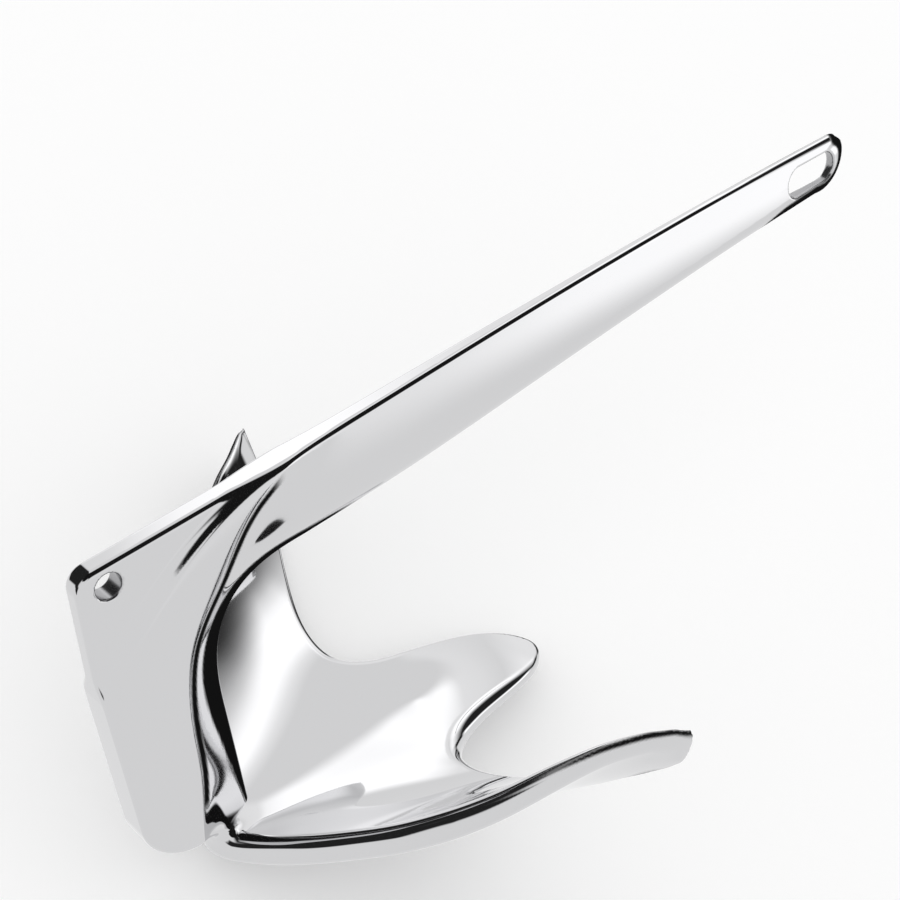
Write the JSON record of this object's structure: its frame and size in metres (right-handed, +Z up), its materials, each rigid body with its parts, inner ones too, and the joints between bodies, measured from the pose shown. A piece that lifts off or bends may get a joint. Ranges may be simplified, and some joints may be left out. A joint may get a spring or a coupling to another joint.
{
  "type": "claw anchor",
  "caption": "Cast claw anchor: a curved shank and web carry a fluked scoop, with a shackle slot at the shank's end and a trip-line hole at the heel.",
  "frame": {"origin": "on the floor, under the middle of the bounding box, with the anchor as it comes to rest on its claw", "axes": "+X along the shank from the heel to the shackle end, +Z up, +Y to the side that the shank leans over to"},
  "size_m": [0.3764, 0.2412, 0.1696],
  "materials": {
    "polished_steel": "stainless steel casting, ground smooth and mirror polished all over"
  },
  "bodies": {
    "root": {"claw_anchor": "polished_steel"}
  },
  "joints": []
}
